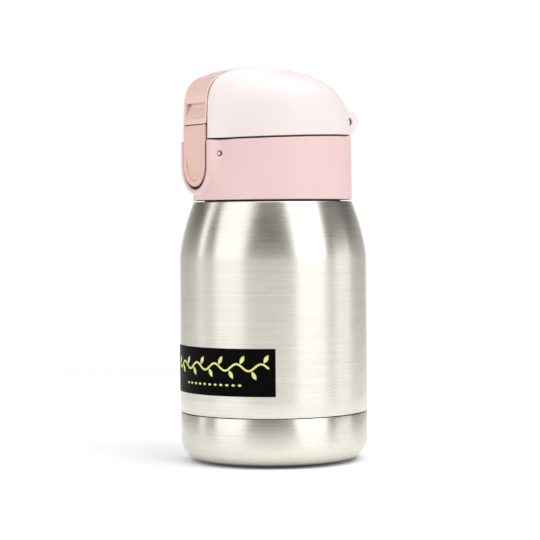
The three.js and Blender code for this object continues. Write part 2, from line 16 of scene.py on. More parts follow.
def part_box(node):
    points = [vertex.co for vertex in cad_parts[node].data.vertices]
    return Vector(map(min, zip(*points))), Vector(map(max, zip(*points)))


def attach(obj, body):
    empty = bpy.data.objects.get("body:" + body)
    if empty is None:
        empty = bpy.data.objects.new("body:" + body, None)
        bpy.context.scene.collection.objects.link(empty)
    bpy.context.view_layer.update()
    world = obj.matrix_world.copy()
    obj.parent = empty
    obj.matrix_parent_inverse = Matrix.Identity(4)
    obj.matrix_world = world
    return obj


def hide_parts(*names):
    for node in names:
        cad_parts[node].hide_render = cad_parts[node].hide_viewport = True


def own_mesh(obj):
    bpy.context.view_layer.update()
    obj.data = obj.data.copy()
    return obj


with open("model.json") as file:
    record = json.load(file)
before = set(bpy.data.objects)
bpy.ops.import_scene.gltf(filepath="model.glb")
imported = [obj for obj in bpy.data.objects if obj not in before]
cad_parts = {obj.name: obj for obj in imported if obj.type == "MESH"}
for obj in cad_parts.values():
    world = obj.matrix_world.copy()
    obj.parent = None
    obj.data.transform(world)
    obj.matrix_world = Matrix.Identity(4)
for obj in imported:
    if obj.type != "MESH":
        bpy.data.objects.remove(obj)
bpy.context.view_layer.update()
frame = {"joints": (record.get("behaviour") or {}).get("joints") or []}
MM = 0.001


# ---------- sizes taken from the frame ----------

def node_box(name):
    """Lowest and highest corner of a CAD node, in millimetres."""
    low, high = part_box(name)
    return [v / MM for v in low], [v / MM for v in high]


def joint_place(name):
    """Where a joint's axis passes, in millimetres."""
    joint = next(j for j in frame["joints"] if j["name"] == name)
    return [v / MM for v in joint["pos_m"]]


SHELL_LOW, SHELL_HIGH = node_box("outer_shell")
LABEL_LOW, LABEL_HIGH = node_box("label")
LID_HIGH = node_box("lid_shell")[1]
LINER_LOW, LINER_HIGH = node_box("inner_liner")
SPOUT_LOW, SPOUT_HIGH = node_box("spout")
VALVE_LOW, VALVE_HIGH = node_box("vent_valve")

# flask
BODY_R = SHELL_HIGH[0]
WALL = 0.8
GAP = 0.3  # clearance between pieces that touch on the real bottle
SEAM_Z = SHELL_LOW[2] - GAP
BASE_CORNER_R = 8.5
SHOULDER_START_Z = 73
SHOULDER_TOP_Z = 93.8
SHOULDER_TOP_R = 28.9
SHOULDER_POWER = 1.55
NECK_R = 24.6
NECK_TOP_Z = LINER_HIGH[2]
LINER_R = LINER_HIGH[0]

# screw thread between neck and cap
THREAD_LEAD = 8
THREAD_STARTS = 2
THREAD_BOTTOM_Z = 97
NECK_CREST_R = 25.5
COLLAR_CREST_R = 25

# cap
COLLAR_BOTTOM_Z = node_box("collar")[0][2]
COLLAR_R = 28.8
COLLAR_BORE_R = 26
COLLAR_RIM_R = 26.8
SPLIT_Z = 116.75  # height of the lid split on the bottle's axis
SPLIT_SLOPE = 0.0294  # the split rises towards the hinge
SPLIT_HALF_GAP = 0.3
DECK_TOP_Z = node_box("spout_deck")[1][2]
VENT_Y = (VALVE_LOW[1] + VALVE_HIGH[1]) / 2

# front boss, push button and safety lock: one strip up the front
BOSS_HALF_WIDTH = 11.2
BOSS_FRONT_Y = -32.1
STRIP_HALF_WIDTH = 8.3  # the lock and its channel in the lid
BUTTON_HALF_WIDTH = 8
BUTTON_FRONT_Y = -32.3
BUTTON_PIN_R = 0.8
BUTTON_LUG_R = 1.7
BUTTON_LUG_INNER_X = 5.5
POCKET_HALF_WIDTH = 8.7
BUTTON_ROUND_Z = 107.3
BUTTON_TOP_Z = 121.1
BUTTON_BACK_Y = -29.6
BUTTON_PIVOT = joint_place("button_press")
LOCK_PIVOT = joint_place("lock_flip")
LOCK_BARREL_R = 2
LOCK_BOTTOM_Z = 121.4

# lid
HINGE = joint_place("lid_hinge")
HINGE_PIN_R = 1.25
EAR_R = 4.45
EAR_INNER_X = 5
EAR_OUTER_X = 10
LID_R = LID_HIGH[0]
LID_TOP_Z = LID_HIGH[2]
LID_DOME_START_Z = 118
LID_LEAN = 3.4  # the crown sits this far forward of the axis
LID_WALL = 1.9
SPOUT_TOP_Z = SPOUT_HIGH[2]


# ---------- materials ----------

class NodeMaterial:
    """A small helper that builds a procedural material round a Principled shader."""

    def __init__(self, name, color, roughness, metallic=0.0):
        self.material = bpy.data.materials.new(name)
        self.material.use_nodes = True
        self.tree = self.material.node_tree
        self.shader = self.tree.nodes["Principled BSDF"]
        self.shader.inputs["Base Color"].default_value = (*color, 1)
        self.shader.inputs["Roughness"].default_value = roughness
        self.shader.inputs["Metallic"].default_value = metallic

    def node(self, kind, **values):
        made = self.tree.nodes.new(kind)
        for key, value in values.items():
            setattr(made, key, value)
        return made

    def link(self, output, target):
        self.tree.links.new(output, target)

    def noise(self, scale, detail=3.0, stretch=(1, 1, 1)):
        """Noise over the part's own place in metres, so it keeps its size on every part."""
        place = self.node("ShaderNodeTexCoord")
        mapping = self.node("ShaderNodeMapping")
        mapping.inputs["Scale"].default_value = stretch
        self.link(place.outputs["Object"], mapping.inputs["Vector"])
        noise = self.node("ShaderNodeTexNoise")
        noise.inputs["Scale"].default_value = scale
        noise.inputs["Detail"].default_value = detail
        self.link(mapping.outputs["Vector"], noise.inputs["Vector"])
        return noise.outputs["Fac"]

    def span(self, value, low, high, from_low=0.3, from_high=0.7):
        """Maps a noise value to the range low to high."""
        scale = self.node("ShaderNodeMapRange")
        scale.inputs["From Min"].default_value = from_low
        scale.inputs["From Max"].default_value = from_high
        scale.inputs["To Min"].default_value = low
        scale.inputs["To Max"].default_value = high
        self.link(value, scale.inputs["Value"])
        return scale.outputs["Result"]

    def blend(self, value, first, second):
        mix = self.node("ShaderNodeMix", data_type="RGBA")
        mix.inputs["A"].default_value = (*first, 1)
        mix.inputs["B"].default_value = (*second, 1)
        self.link(value, mix.inputs["Factor"])
        return mix.outputs["Result"]

    def paint_gap_shade(self, color, dark, reach):
        """Painted shade: the colour is darkened in narrow gaps and sharp inner corners, where little light
        gets in.
        """
        open_share = self.node("ShaderNodeAmbientOcclusion", samples=12)
        open_share.inputs["Distance"].default_value = reach
        deep = self.span(open_share.outputs["AO"], 0, 1, 0.24, 0.72)
        mix = self.node("ShaderNodeMix", data_type="RGBA")
        mix.inputs["A"].default_value = (*dark, 1)
        self.link(color, mix.inputs["B"])
        self.link(deep, mix.inputs["Factor"])
        return mix.outputs["Result"]

    def shade(self, value, first, second):
        """The base colour drifts between two shades."""
        self.link(self.blend(self.span(value, 0, 1), first, second), self.shader.inputs["Base Color"])

    def vary_roughness(self, value, low, high):
        self.link(self.span(value, low, high), self.shader.inputs["Roughness"])

    def bump(self, value, strength, distance):
        bump = self.node("ShaderNodeBump")
        bump.inputs["Strength"].default_value = strength
        bump.inputs["Distance"].default_value = distance
        self.link(value, bump.inputs["Height"])
        self.link(bump.outputs["Normal"], self.shader.inputs["Normal"])


def linear(red, green, blue):
    """A display colour, 0 to 255, as the linear colour that shaders use."""
    def channel(value):
        value = value / 255
        return value / 12.92 if value <= 0.04045 else ((value + 0.055) / 1.055) ** 2.4
    return (channel(red), channel(green), channel(blue))


STEEL_PAINTED_SHADE = (0.06, 0.05, 0.04)
PLASTIC_PAINTED_SHADE = (0.04, 0.006, 0.004)


def brushed_steel():
    """Fine circumferential brushing: long streaks round the body, with a soft vertical smear."""
    steel = NodeMaterial("brushed_steel", linear(226, 223, 216), 0.3, metallic=1.0)
    streaks = steel.noise(60, detail=4, stretch=(0.35, 0.35, 60))
    fine = steel.noise(240, detail=2, stretch=(0.3, 0.3, 30))
    cloud = steel.noise(45, detail=2)
    color = steel.blend(steel.span(streaks, 0, 1), linear(219, 214, 202), linear(230, 226, 215))
    # painted shade: the steel's colour is darkened in the seam groove and along the base's bottom edge by
    # the floor, where little light gets in
    steel.link(steel.paint_gap_shade(color, STEEL_PAINTED_SHADE, 0.0022), steel.shader.inputs["Base Color"])
    rough = steel.node("ShaderNodeMath", operation="ADD")
    steel.link(steel.span(fine, 0.24, 0.3), rough.inputs[0])
    steel.link(steel.span(cloud, 0.0, 0.05), rough.inputs[1])
    steel.link(rough.outputs[0], steel.shader.inputs["Roughness"])
    steel.bump(fine, 0.05, 0.00004)
    steel.shader.inputs["Anisotropic"].default_value = 0.75
    steel.shader.inputs["Anisotropic Rotation"].default_value = 0.25
    tangent = steel.node("ShaderNodeTangent", direction_type="RADIAL", axis="Z")
    steel.link(tangent.outputs["Tangent"], steel.shader.inputs["Tangent"])
    return steel.material


def plain_steel():
    steel = NodeMaterial("plain_steel", linear(205, 204, 200), 0.25, metallic=1.0)
    cloud = steel.noise(300, detail=3)
    steel.shade(cloud, linear(190, 189, 186), linear(214, 213, 210))
    steel.vary_roughness(cloud, 0.22, 0.34)
    steel.bump(cloud, 0.05, 0.00004)
    return steel.material


def moulded_plastic(name, base, shade, roughness, coat=0.0):
    """Satin moulded plastic: a faint cloud in the colour and a very fine spark-eroded skin."""
    plastic = NodeMaterial(name, base, roughness)
    cloud = plastic.noise(55, detail=2)
    skin = plastic.noise(3500, detail=2)
    color = plastic.blend(plastic.span(cloud, 0, 1), base, shade)
    # painted shade: the colour is darkened in the lid split, round the button and in the lock's scoop, where
    # little light gets in
    color_with_painted_shade = plastic.paint_gap_shade(color, PLASTIC_PAINTED_SHADE, 0.0018)
    plastic.link(color_with_painted_shade, plastic.shader.inputs["Base Color"])
    plastic.vary_roughness(skin, roughness - 0.04, roughness + 0.05)
    plastic.bump(skin, 0.06, 0.00003)
    plastic.shader.inputs["Coat Weight"].default_value = coat
    plastic.shader.inputs["Coat Roughness"].default_value = 0.15
    return plastic.material


def silicone():
    rubber = NodeMaterial("silicone", linear(238, 240, 238), 0.5)
    cloud = rubber.noise(120, detail=2)
    rubber.shade(cloud, linear(232, 235, 233), linear(244, 245, 243))
    rubber.vary_roughness(cloud, 0.46, 0.56)
    rubber.shader.inputs["Subsurface Weight"].default_value = 0.3
    rubber.shader.inputs["Subsurface Radius"].default_value = (0.004, 0.0035, 0.003)
    return rubber.material


def label_black():
    vinyl = NodeMaterial("label_black", linear(9, 10, 10), 0.35)
    vinyl.shader.inputs["Specular IOR Level"].default_value = 0.03
    grain = vinyl.noise(900, detail=2)
    vinyl.shade(grain, linear(3, 4, 4), linear(8, 9, 9))
    vinyl.vary_roughness(grain, 0.32, 0.42)
    return vinyl.material


def label_gold():
    ink = NodeMaterial("label_gold", linear(222, 222, 120), 0.45)
    grain = ink.noise(1500, detail=2)
    ink.shade(grain, linear(206, 206, 92), linear(238, 238, 160))
    return ink.material


def getter_grey():
    pellet = NodeMaterial("getter_grey", linear(118, 120, 124), 0.8)
    grain = pellet.noise(1800, detail=3)
    pellet.shade(grain, linear(98, 100, 104), linear(138, 140, 144))
    return pellet.material


STEEL = brushed_steel()
PLAIN_STEEL = plain_steel()
LID_PINK = moulded_plastic("lid_pink", linear(235, 222, 218), linear(237, 225, 221), 0.5)
COLLAR_PINK = moulded_plastic("collar_pink", linear(229, 196, 192), linear(232, 200, 196), 0.38)
BUTTON_PINK = moulded_plastic("button_pink", linear(231, 189, 173), linear(234, 193, 178), 0.36, coat=0.3)
# painted light: the lock uses the button's pink painted lighter, standing in for the brighter light that
# falls on the lock
LOCK_PINK_PAINTED_LIGHT = moulded_plastic("lock_pink_painted_light", linear(240, 205, 191), linear(242, 208, 195), 0.36, coat=0.3)
WHITE = moulded_plastic("white_plastic", linear(242, 240, 236), linear(246, 244, 240), 0.4)
SILICONE = silicone()
LABEL_BLACK = label_black()
LABEL_GOLD = label_gold()
GETTER_GREY = getter_grey()


# ---------- mesh making ----------

def make_piece(name, points, faces, material, body, node, smooth=True):
    """A mesh from points in millimetres, riding on a body and standing for a CAD node."""
    mesh = bpy.data.meshes.new(name)
    mesh.from_pydata([tuple(p) for p in np.asarray(points) * MM], [], [tuple(f) for f in faces])
    mesh.validate()
    mesh.update()
    piece = bpy.data.objects.new(name, mesh)
    bpy.context.scene.collection.objects.link(piece)
    mesh.materials.append(material)
    mesh.polygons.foreach_set("use_smooth", [smooth] * len(mesh.polygons))
    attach(piece, body)
    if node:
        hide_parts(node)
    return piece


def arc(centre, radius, from_degrees, to_degrees, steps):
    """Points along an arc, with both ends."""
    points = []
    for i in range(steps + 1):
        angle = math.radians(from_degrees + (to_degrees - from_degrees) * i / steps)
        points.append((centre[0] + radius * math.cos(angle), centre[1] + radius * math.sin(angle)))
    return points


def sharp(points):
    """Outline points as corners without a fillet."""
    return [(r, z, 0) for r, z in points]


def filleted(corners, steps=5):
    """An outline from [r, z, fillet radius] corners, with the fillets drawn as arcs."""
    points = []
    count = len(corners)
    for i, (r, z, fillet) in enumerate(corners):
        here = np.array([r, z], float)
        if fillet <= 0 or i in (0, count - 1):
            points.append(here)
            continue
        before = np.array(corners[i - 1][:2], float) - here
        after = np.array(corners[i + 1][:2], float) - here
        before /= np.linalg.norm(before)
        after /= np.linalg.norm(after)
        half = math.acos(float(np.clip(before @ after, -1, 1))) / 2
        reach = fillet / math.tan(half)
        centre = here + (before + after) / np.linalg.norm(before + after) * fillet / math.sin(half)
        start = here + before * reach - centre
        end = here + after * reach - centre
        sweep = math.atan2(start[0] * end[1] - start[1] * end[0], float(start @ end))
        for k in range(steps + 1):
            angle = sweep * k / steps
            turn = np.array([[math.cos(angle), -math.sin(angle)], [math.sin(angle), math.cos(angle)]])
            points.append(centre + turn @ start)
    return [tuple(p) for p in points]


def revolved(outline, segments, axis="Z", centre=(0, 0, 0)):
    """Points and faces of an outline of (r, height) turned round Z, or round X, through a centre.

    An outline that starts on the axis ends on it, and any other is closed.
    """
    points = []
    rings = []
    for r, height in outline:
        if r < 1e-6:
            rings.append([len(points)] * segments)
            points.append((0, 0, height))
            continue
        first = len(points)
        rings.append(list(range(first, first + segments)))
        for k in range(segments):
            angle = 2 * math.pi * k / segments
            points.append((r * math.cos(angle), r * math.sin(angle), height))
    faces = []
    pairs = list(zip(rings, rings[1:]))
    if outline[0][0] > 0:
        pairs.append((rings[-1], rings[0]))
    for lower, upper in pairs:
        for k in range(segments):
            after = (k + 1) % segments
            corners = [lower[k], lower[after], upper[after], upper[k]]
            face = list(dict.fromkeys(corners))
            if len(face) > 2:
                faces.append(face)
    points = np.array(points, float)
    if axis == "X":
        points = points[:, [2, 0, 1]]
    return points + np.array(centre, float), faces


def turned_piece(name, corners, material, body, node, segments, axis="Z", centre=(0, 0, 0)):
    """A turned part. Its outline runs anticlockwise in r and height, so its faces look outwards."""
    points, faces = revolved(filleted(corners), segments, axis, centre)
    make_piece(name, points, faces, material, body, node)


def swept_wire(path, radius, sides=10):
    """Points and faces of a round wire along a list of points."""
    path = np.array(path, float)
    tangents = np.gradient(path, axis=0)
    tangents /= np.linalg.norm(tangents, axis=1)[:, None]
    normal = np.cross(tangents[0], (0.3, 0.5, 0.8))
    points = []
    for place, tangent in zip(path, tangents):
        normal = normal - tangent * (normal @ tangent)
        normal /= np.linalg.norm(normal)
        side = np.cross(tangent, normal)
        for k in range(sides):
            angle = 2 * math.pi * k / sides
            points.append(place + radius * (math.cos(angle) * normal + math.sin(angle) * side))
    faces = []
    for i in range(len(path) - 1):
        for k in range(sides):
            a = i * sides + k
            b = i * sides + (k + 1) % sides
            faces.append((a, b, b + sides, a + sides))
    faces.append(tuple(reversed(range(sides))))
    faces.append(tuple(range(len(points) - sides, len(points))))
    return points, faces


# ---------- distance fields ----------

def round_join(a, b, r):
    """The union of two fields, with a fillet of radius r where they meet."""
    inside = np.minimum(a, b)
    return np.maximum(r, inside) - np.hypot(np.maximum(r - a, 0), np.maximum(r - b, 0))


def round_keep(a, b, r):
    """Where both fields are solid, with the shared edges rounded to radius r."""
    return np.minimum(-r, np.maximum(a, b)) + np.hypot(np.maximum(r + a, 0), np.maximum(r + b, 0))


def round_cut(a, b, r):
    return round_keep(a, -b, r)


def polygon_field(u, v, corners):
    """Signed distance to a closed polygon in the plane of u and v."""
    corners = np.array(corners, float)
    nearest = None
    inside = None
    for (u0, v0), (u1, v1) in zip(corners, np.roll(corners, -1, axis=0)):
        edge_u, edge_v = u1 - u0, v1 - v0
        du, dv = u - u0, v - v0
        along = np.clip((du * edge_u + dv * edge_v) / (edge_u ** 2 + edge_v ** 2), 0, 1)
        gap = (du - edge_u * along) ** 2 + (dv - edge_v * along) ** 2
        crosses = ((v0 <= v) & (v1 > v) | (v1 <= v) & (v0 > v))
        if edge_v:
            crosses = crosses & (u < u0 + edge_u * (v - v0) / edge_v)
        nearest = gap if nearest is None else np.minimum(nearest, gap)
        inside = crosses if inside is None else inside ^ crosses
    return np.where(inside, -1.0, 1.0) * np.sqrt(nearest)


def strap_field(x, z, half_width, round_z):
    """A long shape with a round lower end, open upwards."""
    return np.where(z > round_z, np.abs(x) - half_width, np.hypot(x, z - round_z) - half_width)


def dome_field(x, y, z, radius, top_z):
    """The lid's dome: a full, slightly squared curve whose rings drift forward as they rise."""
    height = top_z - LID_DOME_START_Z
    rise = np.maximum((z - LID_DOME_START_Z) / height, 0)
    ring_y = y + LID_LEAN * rise ** 1.5
    reach = np.maximum(np.hypot(x, ring_y), 1e-6)
    value = (reach / radius) ** 2.2 + rise ** 3.2 - 1
    slope_r = 2.2 * reach ** 1.2 / radius ** 2.2
    slope_z = 3.2 * rise ** 2.2 / height + slope_r * (ring_y / reach) * LID_LEAN * 1.5 * rise ** 0.5 / height
    return value / np.maximum(np.hypot(slope_r, slope_z), 0.02)


def split_field(y, z, offset):
    """Positive above the tilted split between collar and lid, moved up by offset."""
    return (z - (SPLIT_Z + SPLIT_SLOPE * y) - offset) / math.hypot(1, SPLIT_SLOPE)


def off_axis(y, z, at):
    """Distance from the line along X through a place."""
    return np.hypot(y - at[1], z - at[2])


def cross_bar(x, y, z, radius, x0, x1, at):
    """A round bar along X, on both sides of the middle plane, from |x| = x0 to x1."""
    return np.maximum(off_axis(y, z, at) - radius, np.maximum(np.abs(x) - x1, x0 - np.abs(x)))


def surface_net(field, low, high, step):
    """Points and quads of the surface where a field is zero, pulled exactly onto it."""
    axes = [np.arange(a - 1.5 * step, b + 2.5 * step, step) for a, b in zip(low, high)]
    values = np.asarray(field(axes[0][:, None, None], axes[1][None, :, None], axes[2][None, None, :]))
    values = np.where(values == 0, 1e-9, values)
    shape = values.shape
    strides = np.array([shape[1] * shape[2], shape[2], 1])
    total = np.zeros((3, values.size))
    count = np.zeros(values.size)
    crossings = []
    for axis in range(3):
        near = [slice(None)] * 3
        far = [slice(None)] * 3
        near[axis] = slice(0, -1)
        far[axis] = slice(1, None)
        a, b = values[tuple(near)], values[tuple(far)]
        index = np.argwhere((a < 0) != (b < 0))
        at = tuple(index.T)
        place = index.astype(float)
        place[:, axis] += a[at] / (a[at] - b[at])
        one, two = [k for k in range(3) if k != axis]
        keep = (index[:, one] > 0) & (index[:, two] > 0)
        index, place, falling = index[keep], place[keep], (a[at] < 0)[keep]
        base = index @ strides
        cells = [base, base - strides[one], base - strides[one] - strides[two], base - strides[two]]
        for cell in cells:
            count += np.bincount(cell, minlength=values.size)
            for k in range(3):
                total[k] += np.bincount(cell, weights=place[:, k], minlength=values.size)
        quads = np.stack(cells, axis=1)
        flip = falling if axis != 1 else ~falling
        quads[flip] = quads[flip][:, ::-1]
        crossings.append(quads)
    used = np.flatnonzero(count)
    number = np.full(values.size, -1)
    number[used] = np.arange(len(used))
    points = (total[:, used] / count[used]).T
    points = np.stack([axes[k][0] + points[:, k] * step for k in range(3)], axis=1)
    for _ in range(4):
        points = points - onto_surface(field, points, step)
    return points, number[np.concatenate(crossings)]


def onto_surface(field, points, step):
    """The move that takes each point to the field's zero, no longer than a third of a step."""
    h = 0.02
    here = field(*points.T)
    slope = []
    for k in range(3):
        ahead, behind = points.copy(), points.copy()
        ahead[:, k] += h
        behind[:, k] -= h
        slope.append((field(*ahead.T) - field(*behind.T)) / (2 * h))
    slope = np.stack(slope, axis=1)
    move = slope * (here / np.maximum((slope ** 2).sum(axis=1), 0.05))[:, None]
    length = np.linalg.norm(move, axis=1)
    return move * np.minimum(1, step / 3 / np.maximum(length, 1e-9))[:, None]


def moulded_piece(name, field, step, material, body, node):
    """The surface of a distance field, looked for in the box of the CAD node it stands for."""
    low, high = node_box(node)
    points, faces = surface_net(field, low, high, step)
    make_piece(name, points, faces.tolist(), material, body, node)


# ---------- flask ----------

def shoulder_r(z):
    """Radius of the flask's side at height z."""
    t = max((z - SHOULDER_START_Z) / (SHOULDER_TOP_Z - SHOULDER_START_Z), 0)
    return BODY_R - (BODY_R - SHOULDER_TOP_R) * t ** SHOULDER_POWER


def shoulder_corners(inset, steps):
    rise = SHOULDER_TOP_Z - SHOULDER_START_Z
    heights = [SHOULDER_START_Z + rise * i / steps for i in range(steps + 1)]
    return [(shoulder_r(z) - inset, z - inset * (z - SHOULDER_START_Z) / rise, 0) for z in heights]


def outer_shell():
    rim_z = NECK_TOP_Z - WALL - 0.2
    levels = 10
    rise = SHOULDER_START_Z - SEAM_Z - 1
    side = [(BODY_R, SEAM_Z + GAP + 0.1 + rise * i / levels, 0) for i in range(levels)]
    corners = [
        (BODY_R - WALL, SEAM_Z + GAP, 0),
        (BODY_R - 0.08, SEAM_Z + GAP, 0),
        *side,
        *shoulder_corners(0, 26)[:-1],
        (SHOULDER_TOP_R, SHOULDER_TOP_Z, 0.5),
        (NECK_R, SHOULDER_TOP_Z, 0.6),
        (NECK_R, rim_z, 0.2),
        (NECK_R - WALL, rim_z, 0.2),
        (NECK_R - WALL, SHOULDER_TOP_Z - WALL, 0.5),
        *reversed(shoulder_corners(WALL, 12)),
    ]
    points, faces = revolved(filleted(corners), 200)
    points, faces = points.tolist(), list(faces)
    for start in range(THREAD_STARTS):
        angle = 2 * math.pi * start / THREAD_STARTS
        ridge_points, ridge_faces = helical_ridge(NECK_R - 0.2, NECK_CREST_R, THREAD_BOTTOM_Z, 1, angle)
        offset = len(points)
        points += ridge_points
        faces += [[i + offset for i in face] for face in ridge_faces]
    make_piece("steel_shell", points, faces, STEEL, "flask", "outer_shell")


def helical_ridge(root_r, crest_r, bottom_z, turns, start_angle):
    """A thread ridge that rises out of the wall at its start and sinks back into it at its end."""
    steps_per_turn = 72
    fade_steps = 6
    steps = steps_per_turn * turns
    points, faces = [], []
    for i in range(steps + 1):
        turn = i / steps_per_turn
        angle = start_angle + 2 * math.pi * turn
        fade = min(1, i / fade_steps, (steps - i) / fade_steps)
        crest = root_r + (crest_r - root_r) * max(fade, 0.1)
        z = bottom_z + THREAD_LEAD * turn
        for r, dz in ((root_r, -0.7), (crest, -0.4), (crest, 0.4), (root_r, 0.7)):
            points.append([r * math.cos(angle), r * math.sin(angle), z + dz])
    for i in range(steps):
        for k in range(4):
            a = i * 4 + k
            b = i * 4 + (k + 1) % 4
            faces.append((a, a + 4, b + 4, b))
    faces.append((0, 1, 2, 3))
    faces.append(tuple(len(points) - k for k in (1, 2, 3, 4)))
    return points, faces


def base_cup():
    recess_r, recess_z = 19, 1.2
    flat_r = BODY_R - BASE_CORNER_R
    spigot_r = BODY_R - WALL - GAP
    bend_centre = (flat_r, BASE_CORNER_R)
    corners = [
        (0, recess_z, 0),
        (recess_r, recess_z, 0.3),
        (recess_r + 0.4, 0, 0.4),
        *sharp(arc(bend_centre, BASE_CORNER_R, -90, 0, 14)),
        (BODY_R, SEAM_Z - 0.1, 0),
        (BODY_R - 0.06, SEAM_Z, 0),
        (spigot_r, SEAM_Z, 0),
        (spigot_r, SEAM_Z + 2.4, 0),
        (spigot_r - WALL, SEAM_Z + 2.4, 0),
        (spigot_r - WALL, SEAM_Z - 1, 0),
        (BODY_R - WALL, SEAM_Z - 1.5, 0),
        *sharp(arc(bend_centre, BASE_CORNER_R - WALL, 0, -90, 14)),
        (recess_r + 1.2, WALL, 0),
        (recess_r + WALL, recess_z + WALL, 0),
        (0, recess_z + WALL, 0),
    ]
    turned_piece("steel_base_cup", corners, STEEL, "flask", "base_cup", 200)


def disc_piece(name, node, bottom_fillet, top_fillet, material, segments):
    """A plain disc that fills the box of its CAD node."""
    low, high = node_box(node)
    corners = [
        (0, low[2], 0),
        (high[0], low[2], bottom_fillet),
        (high[0], high[2], top_fillet),
        (0, high[2], 0),
    ]
    turned_piece(name, corners, material, "flask", node, segments)


def base_plate():
    disc_piece("steel_base_plate", "base_plate", 0.3, 0.1, PLAIN_STEEL, 96)


def getter():
    disc_piece("getter_pellet", "getter", 0.3, 0.3, GETTER_GREY, 32)


def inner_liner():
    bottom_z = LINER_LOW[2]
    corner_r = 8.5
    corner_centre = (LINER_R - corner_r, bottom_z + corner_r)
    neck_r = NECK_R - WALL - GAP
    bend_z, neck_z = 72, 93

    def side(inset):
        corners = []
        for i in range(15):
            t = i / 14
            drop = (LINER_R - neck_r) * t ** 2
            corners.append((LINER_R - inset - drop, bend_z + (neck_z - bend_z) * t - inset * t, 0))
        return corners

    corners = [
        (0, bottom_z, 0),
        *sharp(arc(corner_centre, corner_r, -90, 0, 8)),
        *side(0),
        (neck_r, NECK_TOP_Z - WALL + 0.1, 0),
        (NECK_R, NECK_TOP_Z - WALL + 0.1, 0.2),
        (NECK_R, NECK_TOP_Z, 0.3),
        (neck_r - WALL, NECK_TOP_Z, 0.5),
        *reversed(side(WALL)),
        *sharp(arc(corner_centre, corner_r - WALL, 0, -90, 8)),
        (0, bottom_z + WALL, 0),
    ]
    turned_piece("steel_liner", corners, PLAIN_STEEL, "flask", "inner_liner", 128)


# ---------- label ----------

LABEL_R = BODY_R + 0.27
LABEL_THICKNESS = 0.15
LABEL_FROM = math.radians(-113.5)
LABEL_TO = math.radians(-29)
LABEL_BOTTOM = LABEL_LOW[2]
LABEL_TOP = LABEL_HIGH[2]


def wrap(points_2d, radius):
    """Puts flat label points (along, up) in millimetres round the body, from the label's middle."""
    middle = (LABEL_FROM + LABEL_TO) / 2
    angles = [middle + along / radius for along, _ in points_2d]
    return [(radius * math.cos(a), radius * math.sin(a), up) for a, (_, up) in zip(angles, points_2d)]


def label():
    """A thin sticker that follows the body."""
    steps = 64
    half = (LABEL_TO - LABEL_FROM) / 2 * LABEL_R
    inner_share = (LABEL_R - LABEL_THICKNESS) / LABEL_R
    points, faces = [], []
    for i in range(steps + 1):
        along = -half + 2 * half * i / steps
        outer = wrap([(along, LABEL_BOTTOM), (along, LABEL_TOP)], LABEL_R)
        points += outer
        points += [(x * inner_share, y * inner_share, z) for x, y, z in outer]
    for i in range(steps):
        a = i * 4
        b = a + 4
        faces += [(a, b, b + 1, a + 1), (a + 1, b + 1, b + 3, a + 3),
                  (a + 3, b + 3, b + 2, a + 2), (a + 2, b + 2, b, a)]
    last = steps * 4
    faces += [(0, 1, 3, 2), (last, last + 2, last + 3, last + 1)]
    make_piece("label_sticker", points, faces, LABEL_BLACK, "flask", "label", smooth=False)


def flat_stroke(path, width):
    """A flat ribbon of even width along a path on the label, as points and quads."""
    path = np.array(path, float)
    tangents = np.gradient(path, axis=0)
    tangents /= np.linalg.norm(tangents, axis=1)[:, None]
    normals = np.stack([-tangents[:, 1], tangents[:, 0]], axis=1) * width / 2
    points = [tuple(p) for pair in zip(path - normals, path + normals) for p in pair]
    faces = [(2 * i, 2 * i + 2, 2 * i + 3, 2 * i + 1) for i in range(len(path) - 1)]
    return points, faces


def flat_leaf(centre, length, width, degrees, steps=10):
    """A pointed leaf shape on the label."""
    turn = math.radians(degrees)
    outline = []
    for side in (1, -1):
        for i in range(steps):
            t = i / steps if side > 0 else 1 - i / steps
            along = length * (t - 0.5)
            across = side * width / 2 * math.sin(math.pi * t)
            outline.append((centre[0] + along * math.cos(turn) - across * math.sin(turn),
                            centre[1] + along * math.sin(turn) + across * math.cos(turn)))
    return outline, [tuple(range(len(outline)))]


def label_print():
    """A plain garland: a wavy stem with leaves, and a row of small diamonds under it."""
    stem_z = LABEL_BOTTOM + 10.2
    stem_half_length = 23
    first_leaf = 21.5
    leaves = 11
    diamonds = 11
    diamond_pitch = 2.5

    def stem_height(along):
        return stem_z + 1.2 * math.sin(2 * math.pi * along / 9)

    path = [(along, stem_height(along)) for along in np.linspace(-stem_half_length, stem_half_length, 185)]
    shapes = [flat_stroke(path, 0.7)]
    for i in range(leaves):
        along = -first_leaf + 2 * first_leaf * i / (leaves - 1)
        side = 1 if i % 2 == 0 else -1
        shapes.append(flat_leaf((along + 0.5, stem_height(along) + side * 2.2), 3.4, 1.5, 62 * side))
    for i in range(diamonds):
        along = diamond_pitch * (i - (diamonds - 1) / 2)
        shapes.append(flat_leaf((along, LABEL_BOTTOM + 3.9), 1.5, 0.9, 0, steps=4))
    points, faces = [], []
    for outline, quads in shapes:
        offset = len(points)
        points += wrap(outline, LABEL_R + 0.03)
        faces += [tuple(i + offset for i in face) for face in quads]
    make_piece("label_print", points, faces, LABEL_GOLD, "flask", None, smooth=False)


# ---------- cap ----------

def thread_field(x, y, z, crest_r, root_r, low_z, high_z):
    """Thread ridges on the inside of a bore."""
    pitch = THREAD_LEAD / THREAD_STARTS
    angle = np.arctan2(y, x)
    phase = (z - low_z - THREAD_LEAD * angle / (2 * math.pi)) % pitch
    across = np.abs(phase - pitch / 2) - 0.6
    reach = np.hypot(x, y)
    ridge = np.maximum(across, np.maximum(crest_r - reach, reach - root_r))
    return np.maximum(ridge, np.maximum(low_z - z, z - high_z))


